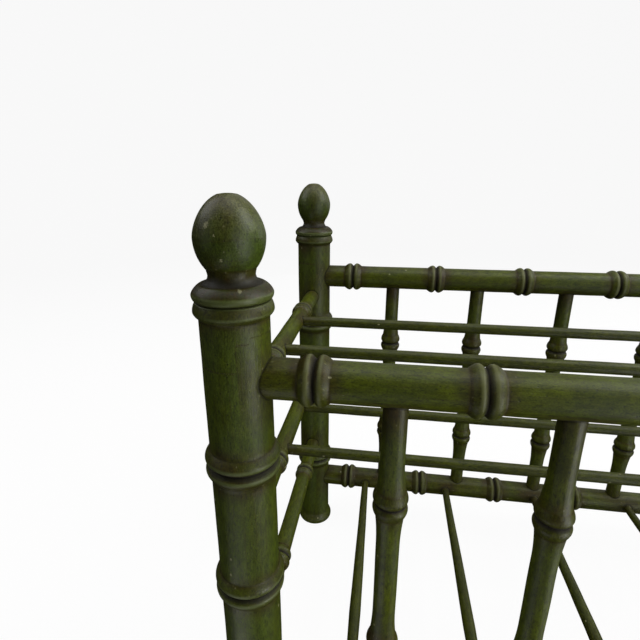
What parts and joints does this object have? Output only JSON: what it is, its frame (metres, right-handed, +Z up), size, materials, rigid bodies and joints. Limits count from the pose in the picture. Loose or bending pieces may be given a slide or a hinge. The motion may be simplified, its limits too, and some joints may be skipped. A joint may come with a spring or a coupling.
{
  "type": "magazine rack",
  "caption": "Free-standing slotted magazine rack of turned, green-painted wood in the faux-bamboo style, with egg finials, ringed rails and spindles, and plain divider rods.",
  "frame": {"origin": "on the floor, at the middle of the rack's length and width", "axes": "+X along the rack's length to the right as seen from the front, +Y to the back, +Z up"},
  "size_m": [0.4909, 0.2616, 0.3606],
  "materials": {
    "posts": "antiqued green paint, satin",
    "rails": "antiqued green paint, satin",
    "thin_rods": "antiqued green paint, satin"
  },
  "bodies": {
    "root": {"front_left_post": "posts", "front_right_post": "posts", "back_left_post": "posts", "back_right_post": "posts", "front_left_finial": "posts", "front_right_finial": "posts", "back_left_finial": "posts", "back_right_finial": "posts", "front_top_rail": "rails", "front_bottom_rail": "rails", "back_top_rail": "rails", "back_bottom_rail": "rails", "left_top_side_rail": "rails", "left_middle_side_rail": "rails", "left_bottom_side_rail": "rails", "right_top_side_rail": "rails", "right_middle_side_rail": "rails", "right_bottom_side_rail": "rails", "front_spindle_1": "rails", "front_spindle_2": "rails", "front_spindle_3": "rails", "front_spindle_4": "rails", "front_spindle_5": "rails", "back_spindle_1": "rails", "back_spindle_2": "rails", "back_spindle_3": "rails", "back_spindle_4": "rails", "back_spindle_5": "rails", "upper_front_divider_rod": "thin_rods", "upper_back_divider_rod": "thin_rods", "lower_front_divider_rod": "thin_rods", "lower_back_divider_rod": "thin_rods", "floor_dowel_1": "thin_rods", "floor_dowel_2": "thin_rods", "floor_dowel_3": "thin_rods", "floor_dowel_4": "thin_rods", "floor_dowel_5": "thin_rods"}
  },
  "joints": []
}
